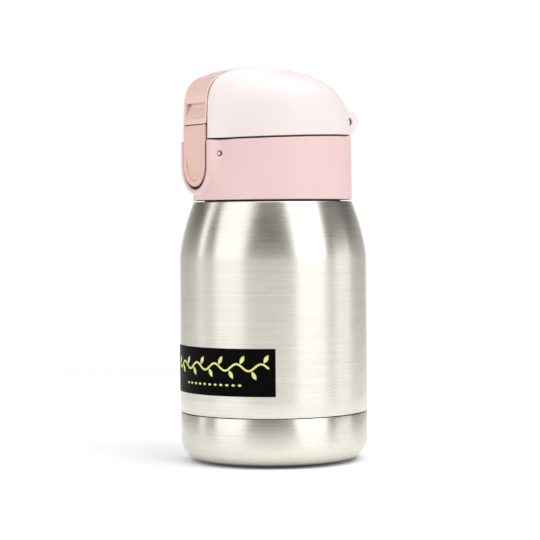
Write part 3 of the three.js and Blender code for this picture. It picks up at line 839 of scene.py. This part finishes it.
def collar_field(x, y, z):
    """The screw collar: its wall and front boss, hollowed for the neck, the deck, the lid and the button."""
    reach = np.hypot(x, y)
    outside = reach - (COLLAR_R + 0.1 - 0.2 * (z - COLLAR_BOTTOM_Z) / 30)
    boss = round_keep(strap_field(x, z, BOSS_HALF_WIDTH, BUTTON_ROUND_Z), BOSS_FRONT_Y - y, 1.5)
    boss = np.maximum(boss, y + 14)
    solid = round_join(outside, boss, 2.8)
    solid = round_keep(solid, COLLAR_BOTTOM_Z - z, 0.5)
    solid = round_keep(solid, split_field(y, z, -SPLIT_HALF_GAP), 0.2)
    ledge_z = DECK_TOP_Z + GAP
    hollow = np.minimum(np.maximum(reach - COLLAR_BORE_R, z - ledge_z), reach - 24)
    hollow = np.minimum(hollow, np.maximum(reach - COLLAR_RIM_R, ledge_z + 1 - z))
    solid = round_cut(solid, hollow, 0.35)
    pocket_floor_y = -27.4
    pocket = strap_field(x, z, POCKET_HALF_WIDTH, BUTTON_ROUND_Z - 0.3)
    pocket = np.maximum(pocket, y - pocket_floor_y)
    solid = round_cut(solid, pocket, 0.9)
    lug_room_x = BUTTON_LUG_INNER_X - GAP
    lug_rooms = cross_bar(x, y, z, BUTTON_LUG_R + GAP, lug_room_x, POCKET_HALF_WIDTH, BUTTON_PIVOT)
    solid = np.maximum(solid, -lug_rooms)
    pin_holes = cross_bar(x, y, z, BUTTON_PIN_R + 0.15, 8, 14, BUTTON_PIVOT)
    solid = round_cut(solid, pin_holes, 0.12)
    thread_low_z, thread_high_z = THREAD_BOTTOM_Z + 1.4, 105.6
    thread = thread_field(x, y, z, COLLAR_CREST_R, COLLAR_BORE_R + 0.4, thread_low_z, thread_high_z)
    solid = np.minimum(solid, thread)
    return round_join(solid, hinge_block_field(x, y, z), 0.8)


def hinge_block_field(x, y, z):
    """The knuckle at the back of the cap that the lid's ears turn beside, slotted for the spring."""
    half_width = EAR_INNER_X - GAP
    knuckle = off_axis(y, z, HINGE) - (EAR_R - 0.35)
    stem = np.maximum(np.abs(y - HINGE[1] + 1) - 2.6, np.maximum(z - HINGE[2], DECK_TOP_Z + 1 - z))
    block = round_join(knuckle, stem, 1)
    block = round_keep(block, np.abs(x) - half_width, 0.4)
    slot = np.maximum(np.abs(x) - 2.5, HINGE[2] - 3.2 - z)
    block = round_cut(block, slot, 0.3)
    return np.maximum(block, HINGE_PIN_R + GAP - off_axis(y, z, HINGE))


def collar():
    moulded_piece("cap_collar", collar_field, 0.34, COLLAR_PINK, "cap", "collar")


def mouth_seal():
    low, high = node_box("mouth_seal")
    inner = 22.5
    corners = [(inner, low[2], 0), (high[0], low[2], 0.5), (high[0], high[2], 0.5), (inner, high[2], 0.5),
               (inner, low[2] + 0.01, 0)]
    turned_piece("silicone_mouth_seal", corners, SILICONE, "seal", "mouth_seal", 120)


def deck_field(x, y, z):
    """A flat ring with a skirt under it and a hole for the air valve."""
    reach = np.hypot(x, y)
    bottom_z = DECK_TOP_Z - 2
    plate = round_keep(np.maximum(reach - 25.6, 7.4 - reach), np.abs(z - DECK_TOP_Z + 1) - 1, 0.35)
    skirt = round_keep(np.abs(reach - 21.2) - 1, np.maximum(bottom_z - 8 - z, z - bottom_z - 1), 0.35)
    vent_hole = np.hypot(x, y - VENT_Y) - 1.5
    return np.maximum(round_join(plate, skirt, 0.6), -vent_hole)


def spout_deck():
    moulded_piece("cap_spout_deck", deck_field, 0.5, COLLAR_PINK, "cap", "spout_deck")


def vent_valve():
    head_z = DECK_TOP_Z + GAP
    corners = [
        (0, VALVE_LOW[2], 0),
        (1.1, VALVE_LOW[2], 0.4),
        (1.1, head_z, 0),
        (2.8, head_z, 0.2),
        (2.8, head_z + 0.6, 0.4),
        (1.6, VALVE_HIGH[2], 0.4),
        (0, VALVE_HIGH[2], 0),
    ]
    turned_piece("silicone_vent_valve", corners, SILICONE, "cap", "vent_valve", 40,
                 centre=(0, VENT_Y, 0))


def spout():
    flange_z = DECK_TOP_Z + GAP
    corners = [
        (4.5, SPOUT_LOW[2], 0),
        (7, SPOUT_LOW[2], 0.4),
        (7, flange_z, 0.3),
        (13, flange_z, 0.3),
        (13, flange_z + 1.4, 0.4),
        (9.6, flange_z + 1.4, 1.0),
        (9, 119, 3),
        (8.4, 126, 6),
        (8, SPOUT_TOP_Z - 1.6, 2),
        (7.6, SPOUT_TOP_Z, 1.2),
        (4.5, SPOUT_TOP_Z, 1.0),
        (4.5, SPOUT_LOW[2] + 0.01, 0),
    ]
    turned_piece("silicone_spout", corners, SILICONE, "cap", "spout", 96)


def spout_ring():
    bottom_z = DECK_TOP_Z + GAP
    top_z = bottom_z + 3
    corners = [
        (13.3, bottom_z, 0),
        (14.6, bottom_z, 0.2),
        (14.6, top_z, 0.9),
        (10.2, top_z, 0.6),
        (10.2, bottom_z + 1.7, 0.2),
        (13.3, bottom_z + 1.7, 0.2),
        (13.3, bottom_z + 0.01, 0),
    ]
    turned_piece("spout_clamp_ring", corners, WHITE, "cap", "spout_ring", 96)


def pin(name, node, radius, dish):
    """A short steel pin along X, with chamfered ends and a small dimple in each."""
    low, high = node_box(node)
    end = high[0]
    chamfer = 0.15
    half = [
        (0, end - dish),
        (radius * 0.5, end - dish * 0.3),
        (radius * 0.62, end),
        (radius - chamfer, end),
        (radius, end - chamfer),
    ]
    corners = sharp([(r, -along) for r, along in half] + half[::-1])
    centre = (0, (low[1] + high[1]) / 2, (low[2] + high[2]) / 2)
    turned_piece(name, corners, PLAIN_STEEL, "cap", node, 32, "X", centre)


def coil(radius, turns, start_degrees):
    """Points along a spring seen end on, as (share of its length, across, up)."""
    steps = int(turns * 32)
    points = arc((0, 0), radius, start_degrees, start_degrees + 360 * turns, steps)
    return [(i / steps, across, up) for i, (across, up) in enumerate(points)]


def button_spring():
    """A short coil that pushes the button's lower end outwards."""
    wire_r, length, centre_z = 0.2, 1.2, 103
    start_y = BUTTON_BACK_Y + GAP + wire_r
    path = [(x, start_y + length * share, centre_z + z) for share, x, z in coil(2, 2, 0)]
    points, faces = swept_wire(path, wire_r)
    spring = make_piece("button_return_spring", points, faces, PLAIN_STEEL, "cap", "button_spring")
    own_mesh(spring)


def hinge_spring():
    """The torsion coil round the hinge pin, with one straight leg up towards the lid."""
    coil_r, half_length = 2.2, 1.7
    leg_top_z = HINGE[2] + 3.6
    path = [(-half_length, HINGE[1] - coil_r, leg_top_z - 0.3 * k) for k in range(12)]
    for share, y, z in coil(coil_r, 3.25, 180):
        path.append((half_length * (2 * share - 1), HINGE[1] + y, HINGE[2] + z))
    points, faces = swept_wire(path, 0.28)
    make_piece("lid_torsion_spring", points, faces, PLAIN_STEEL, "cap", "hinge_spring")


def button_field(x, y, z):
    """A long plate with a round lower end, a U-shaped thumb dip and two lugs behind it for its pin."""
    plate = round_keep(strap_field(x, z, BUTTON_HALF_WIDTH, BUTTON_ROUND_Z), BUTTON_FRONT_Y - y, 0.55)
    plate = np.maximum(plate, y - BUTTON_BACK_Y)
    plate = round_keep(plate, z - BUTTON_TOP_Z, 0.15)
    dip_start_z, dip_length, dip_depth = 106, 10, 0.75
    fade = np.clip((z - dip_start_z) / dip_length, 0, 1)
    depth = dip_depth * (1 - fade * fade * (3 - 2 * fade))
    dip = np.maximum(strap_field(x, z, BUTTON_HALF_WIDTH - 2, BUTTON_ROUND_Z), y - BUTTON_FRONT_Y - depth)
    plate = round_cut(plate, dip, 0.5)
    lug_outer_x = BUTTON_HALF_WIDTH - 0.2
    lugs = cross_bar(x, y, z, BUTTON_LUG_R, BUTTON_LUG_INNER_X, lug_outer_x, BUTTON_PIVOT)
    web = np.maximum(np.abs(z - BUTTON_PIVOT[2]) - BUTTON_LUG_R, np.abs(y + 28.8) - 1)
    web_middle_x = (BUTTON_LUG_INNER_X + lug_outer_x) / 2
    web = np.maximum(web, np.abs(np.abs(x) - web_middle_x) - (lug_outer_x - BUTTON_LUG_INNER_X) / 2)
    hook = np.maximum(np.abs(x) - 3.4, np.maximum(np.abs(z - 119.5) - 1.1, np.abs(y + 29.4) - 0.4))
    solid = np.minimum(np.minimum(plate, lugs), np.minimum(web, hook))
    pin_hole_r = BUTTON_PIN_R + 0.25
    return np.maximum(solid, pin_hole_r - off_axis(y, z, BUTTON_PIVOT))


def push_button():
    moulded_piece("thumb_button", button_field, 0.22, BUTTON_PINK, "button", "push_button")


# ---------- lid ----------

def bezier(a, b, c, d, steps):
    """Points along a cubic curve, without its first point."""
    points = []
    for i in range(1, steps + 1):
        t = i / steps
        weights = ((1 - t) ** 3, 3 * t * (1 - t) ** 2, 3 * t * t * (1 - t), t ** 3)
        points.append(tuple(sum(w * p[k] for w, p in zip(weights, (a, b, c, d))) for k in range(2)))
    return points


def boss_outline():
    """The raised band up the lid's front, seen from the side as (y, z)."""
    outline = [(-31.5, 108), (-31.2, 124), (-31.0, 129)]
    outline += bezier((-31.0, 129), (-30.7, 135.0), (-27.6, 138.9), (-20.5, 139.7), 12)
    outline += bezier((-20.5, 139.7), (-17, 140.1), (-12, 140.6), (-6, 141.0), 5)
    return outline + [(-6, 108)]


def channel_outline():
    """The open channel for button and lock, ending in a round seat for the lock's barrel."""
    seat_r = LOCK_BARREL_R + GAP
    floor_y = -28.2
    seat_bottom = (LOCK_PIVOT[1], LOCK_PIVOT[2] - seat_r)
    outline = [(-45, 104), (floor_y, 104), (floor_y, 129)]
    outline += bezier((floor_y, 129), (floor_y, 132), (-26.4, 134.9), seat_bottom, 8)
    outline += arc(LOCK_PIVOT[1:], seat_r, -90, 0, 8)[1:]
    return outline + [(LOCK_PIVOT[1] + seat_r, 150), (-45, 150)]


BOSS_OUTLINE = boss_outline()
CHANNEL_OUTLINE = channel_outline()


def lid_field(x, y, z):
    """The domed lid with its front band and rear ears, hollow, with the channel for button and lock."""
    dome = dome_field(x, y, z, LID_R, LID_TOP_Z)
    boss = round_keep(polygon_field(y, z, BOSS_OUTLINE), np.abs(x) - BOSS_HALF_WIDTH, 2.4)
    solid = round_join(dome, boss, 5.0)
    solid = np.maximum(solid, z - LID_TOP_Z)
    inside = dome_field(x, y, z, LID_R - LID_WALL, LID_TOP_Z - LID_WALL - 0.25)
    bulge_r, bulge_x = LOCK_BARREL_R + 1.5, 10.6
    bulge = np.maximum(off_axis(y, z, LOCK_PIVOT) - bulge_r, np.abs(x) - bulge_x)
    inside = round_cut(inside, bulge, 0.4)
    solid = np.maximum(solid, -inside)
    channel = np.maximum(polygon_field(y, z, CHANNEL_OUTLINE), np.abs(x) - STRIP_HALF_WIDTH - GAP)
    solid = round_cut(solid, channel, 0.5)
    ears = off_axis(y, z, HINGE) - EAR_R
    ear_middle_x = (EAR_INNER_X + EAR_OUTER_X) / 2
    ears = round_keep(ears, np.abs(np.abs(x) - ear_middle_x) - (EAR_OUTER_X - EAR_INNER_X) / 2, 0.7)
    solid = round_join(solid, ears, 1.4)
    slot = np.maximum(np.abs(x) - EAR_INNER_X, np.maximum(HINGE[1] - 5.4 - y, z - HINGE[2] - 5.3))
    solid = round_cut(solid, slot, 0.35)
    solid = round_keep(solid, -split_field(y, z, SPLIT_HALF_GAP), 0.2)
    solid = np.maximum(solid, -cross_bar(x, y, z, 1.3, STRIP_HALF_WIDTH, 10.1, LOCK_PIVOT))
    catch = np.maximum(np.abs(x) - 4.2, np.maximum(np.abs(z - 119.3) - 1.7, np.abs(y + 28.2) - 0.8))
    solid = np.maximum(solid, -catch)
    return np.maximum(solid, HINGE_PIN_R + GAP - off_axis(y, z, HINGE))


def lid_shell():
    moulded_piece("flip_lid", lid_field, 0.34, LID_PINK, "lid", "lid_shell")


def liner_field(x, y, z):
    """The lid's inner cover, which goes round the lock's seat, with a socket for the gasket."""
    fit, thick = LID_WALL + 0.4, 1.2
    top_z = LID_TOP_Z - fit - 0.25
    outside = dome_field(x, y, z, LID_R - fit, top_z)
    inside = dome_field(x, y, z, LID_R - fit - thick, top_z - thick)
    around_lock = off_axis(y, z, LOCK_PIVOT)
    bulge_r, bulge_x = LOCK_BARREL_R + 1.8, 11
    bulge = np.maximum(around_lock - bulge_r, np.abs(x) - bulge_x)
    covered_bulge = round_keep(around_lock - bulge_r - thick, np.abs(x) - bulge_x - thick, 0.6)
    shell = np.maximum(outside, -round_cut(inside, covered_bulge, 0.6))
    shell = round_keep(shell, -split_field(y, z, -0.9), 0.4)
    reach = np.hypot(x, y)
    socket_bottom_z = SPOUT_TOP_Z + 1.4
    socket = np.maximum(round_keep(np.abs(reach - 9) - 0.6, socket_bottom_z - z, 0.3), outside)
    solid = round_join(shell, socket, 0.8)
    hinge_room = np.maximum(np.abs(x) - 10.6, np.maximum(HINGE[1] - 5.3 - y, z - HINGE[2] - 5.3))
    return round_cut(np.maximum(solid, -bulge), hinge_room, 0.35)


def lid_liner():
    moulded_piece("lid_inner_cover", liner_field, 0.45, WHITE, "lid", "lid_liner")


def lid_gasket():
    low, high = node_box("lid_gasket")
    radius = high[0]
    corners = [
        (0, low[2] + 0.5, 0),
        (4, low[2] + 0.5, 0.3),
        (4.6, low[2], 0.3),
        (radius, low[2], 0.7),
        (radius, high[2], 0.4),
        (0, high[2], 0),
    ]
    turned_piece("silicone_lid_gasket", corners, SILICONE, "lid", "lid_gasket", 64)


def lever_outline():
    """The lock lever seen from the side as (y, z): front face, barrel, then its hollow back."""
    front = (-31.1, 131.4)
    barrel_top = (LOCK_PIVOT[1] - 0.6, LOCK_PIVOT[2] + LOCK_BARREL_R - 0.1)
    outline = [(-31.95, LOCK_BOTTOM_Z), front]
    outline += bezier(front, (-30.7, 135.2), (-28.4, 138.2), barrel_top, 14)
    outline += arc(LOCK_PIVOT[1:], LOCK_BARREL_R, 90, -90, 12)
    barrel_bottom = (LOCK_PIVOT[1], LOCK_PIVOT[2] - LOCK_BARREL_R)
    outline += bezier(barrel_bottom, (-26.4, 135.2), (-28.4, 133.2), (-28.7, 129.5), 10)
    return outline + [(-29, LOCK_BOTTOM_Z)]


LEVER_OUTLINE = lever_outline()
SCOOP_OUTLINE = [(-35, 129.3), (-29.6, 129.0), (-29.8, 127.4), (-31.5, 123.6), (-35, 122.9)]


def lever_field(x, y, z):
    """The safety lock: a curved lever with a thumb scoop and a stub axle on each side."""
    body = round_keep(polygon_field(y, z, LEVER_OUTLINE), np.abs(x) - STRIP_HALF_WIDTH, 0.45)
    scoop = round_keep(polygon_field(y, z, SCOOP_OUTLINE), np.abs(x) - STRIP_HALF_WIDTH + 1, 0.4)
    body = round_cut(body, scoop, 0.2)
    around = off_axis(y, z, LOCK_PIVOT)
    axles = np.maximum(around - 1, np.abs(x) - 9.8)
    return np.minimum(body, axles)


def lock_lever():
    moulded_piece("safety_lock", lever_field, 0.2, LOCK_PINK_PAINTED_LIGHT, "lock", "lock_lever")


# ---------- stage, lights and camera ----------

def stage():
    """A round white table top, lit a little from within so that it reaches the backdrop's white."""
    radius, sides = 0.42, 96
    rim = [(radius * math.cos(2 * math.pi * k / sides), radius * math.sin(2 * math.pi * k / sides), 0)
           for k in range(sides)]
    floor = bpy.data.meshes.new("floor")
    floor.from_pydata(rim, [], [tuple(range(sides))])
    table = bpy.data.objects.new("floor", floor)
    bpy.context.scene.collection.objects.link(table)
    paint = NodeMaterial("floor_white", (0.97, 0.97, 0.97), 0.7)
    cloud = paint.noise(3)
    paint.shade(cloud, (0.96, 0.96, 0.958), (0.98, 0.98, 0.978))
    paint.shader.inputs["Emission Color"].default_value = (1, 1, 1, 1)
    paint.shader.inputs["Emission Strength"].default_value = 0.11
    floor.materials.append(paint.material)


CAMERA_AZIMUTH = math.radians(60)


def around_bottle(degrees_from_camera, distance, height):
    """A place round the bottle, in metres, at an angle seen from above, anticlockwise from the camera."""
    angle = CAMERA_AZIMUTH + math.radians(degrees_from_camera)
    return Vector((distance * math.sin(angle), -distance * math.cos(angle), height))


def softbox(name, degrees, distance, elevation, width, tall, radiance, aim_z=0.08):
    """A rectangular light that faces the bottle from an angle round it and an elevation above it."""
    light = bpy.data.lights.new(name, "AREA")
    light.shape = "RECTANGLE"
    light.size = width
    light.size_y = tall
    light.energy = radiance * math.pi * width * tall
    light.color = (0.975, 0.99, 1.03)
    lamp = bpy.data.objects.new(name, light)
    bpy.context.scene.collection.objects.link(lamp)
    rise = math.radians(elevation)
    lamp.location = around_bottle(degrees, distance * math.cos(rise), aim_z + distance * math.sin(rise))
    aim = Vector((0, 0, aim_z)) - lamp.location
    lamp.rotation_euler = aim.to_track_quat("-Z", "Y").to_euler()
    lamp.visible_camera = False


def feed(tree, value, socket):
    """A socket takes a link from another socket, or a plain value."""
    if isinstance(value, bpy.types.NodeSocket):
        tree.links.new(value, socket)
    else:
        socket.default_value = value


def world_math(tree, operation, first, second):
    node = tree.nodes.new("ShaderNodeMath")
    node.operation = operation
    feed(tree, first, node.inputs[0])
    feed(tree, second, node.inputs[1])
    return node.outputs[0]


def world_mix(tree, factor, first, second, blend_type="MIX"):
    mix = tree.nodes.new("ShaderNodeMix")
    mix.data_type = "RGBA"
    mix.blend_type = blend_type
    feed(tree, factor, mix.inputs["Factor"])
    feed(tree, first, mix.inputs["A"])
    feed(tree, second, mix.inputs["B"])
    return mix.outputs["Result"]


def world_ramp(tree, value, stops):
    """A grey level that follows a value through (position, level) stops."""
    ramp = tree.nodes.new("ShaderNodeValToRGB")
    tree.links.new(value, ramp.inputs["Fac"])
    while len(ramp.color_ramp.elements) < len(stops):
        ramp.color_ramp.elements.new(0.5)
    for element, (position, level) in zip(ramp.color_ramp.elements, stops):
        element.position = position
        element.color = (level, level, level, 1)
    return ramp.outputs["Color"]


def room_light():
    """A pale room, darker high up on the camera's side, that the camera itself sees as plain white."""
    world = bpy.data.worlds.new("studio")
    bpy.context.scene.world = world
    world.use_nodes = True
    tree = world.node_tree
    background = tree.nodes["Background"]
    place = tree.nodes.new("ShaderNodeTexCoord")
    split = tree.nodes.new("ShaderNodeSeparateXYZ")
    tree.links.new(place.outputs["Generated"], split.inputs["Vector"])
    # 0 straight down, 0.5 at the horizon, 1 straight up
    height = world_math(tree, "MULTIPLY_ADD", split.outputs["Z"], 0.5)
    height.node.inputs[2].default_value = 0.5
    # 1 on the camera's side, 0 on the far side
    toward = world_math(tree, "MULTIPLY", split.outputs["X"], math.sin(CAMERA_AZIMUTH) * 0.5)
    across = world_math(tree, "MULTIPLY", split.outputs["Y"], -math.cos(CAMERA_AZIMUTH) * 0.5)
    side = world_math(tree, "ADD", world_math(tree, "ADD", toward, across), 0.5)
    front_stops = ((0.0, 1.0), (0.5, 0.8), (0.57, 0.6), (0.64, 0.07), (0.86, 0.05), (0.97, 0.9))
    front = world_ramp(tree, height, front_stops)
    back = world_ramp(tree, height, ((0.0, 1.0), (0.6, 1.0), (0.75, 0.6), (1.0, 0.9)))
    near = world_ramp(tree, side, ((0.01, 0.0), (0.05, 1.0)))
    flank = world_ramp(tree, side, ((0.01, 1.0), (0.05, 0.74), (0.2, 0.74), (0.4, 1.0)))
    room = world_mix(tree, 1, world_mix(tree, near, back, front), flank, "MULTIPLY")
    seen = tree.nodes.new("ShaderNodeLightPath")
    backdrop = world_mix(tree, seen.outputs["Is Camera Ray"], room, (1, 1, 1, 1))
    tree.links.new(backdrop, background.inputs["Color"])
    background.inputs["Strength"].default_value = 1.04


def softboxes():
    """Two wide lights for the steel's long highlights, two narrow ones for its edges, one from above."""
    softbox("key_right", 48, 1.0, 33, 0.78, 1.2, 1.7)
    softbox("key_left", -56, 1.0, 33, 0.78, 1.2, 1.35)
    softbox("edge_right", 94, 1.0, 5, 0.5, 0.3, 0.75)
    softbox("edge_left", -100, 1.0, 30, 0.14, 0.9, 2.0)
    softbox("overhead", 100, 1.2, 75, 1.3, 1.3, 1.65)


def camera():
    """A long lens a little above the middle of the flask, tipped slightly down."""
    distance = 0.6787
    eye_z = 0.08636
    yaw = math.radians(0.0955)
    pitch = math.radians(-1.4665)
    roll = math.radians(-0.455)
    data = bpy.data.cameras.new("camera")
    data.sensor_width = 36
    data.lens = 124.047
    data.clip_start = 0.01
    eye = bpy.data.objects.new("camera", data)
    bpy.context.scene.collection.objects.link(eye)
    turn = Matrix.Rotation(CAMERA_AZIMUTH + yaw, 4, "Z")
    tilt = Matrix.Rotation(math.pi / 2 + pitch, 4, "X")
    place = Matrix.Translation(around_bottle(0, distance, eye_z))
    eye.matrix_world = place @ turn @ tilt @ Matrix.Rotation(roll, 4, "Z")
    bpy.context.scene.camera = eye
    bpy.context.scene.view_settings.view_transform = "Standard"


outer_shell()
base_cup()
base_plate()
getter()
inner_liner()
label()
label_print()
collar()
mouth_seal()
spout_deck()
vent_valve()
spout()
spout_ring()
pin("button_pin_steel", "button_pin", BUTTON_PIN_R, 0.1)
pin("hinge_pin_steel", "hinge_pin", HINGE_PIN_R, 0.35)
button_spring()
hinge_spring()
push_button()
lid_shell()
lid_liner()
lid_gasket()
lock_lever()
stage()
room_light()
softboxes()
camera()
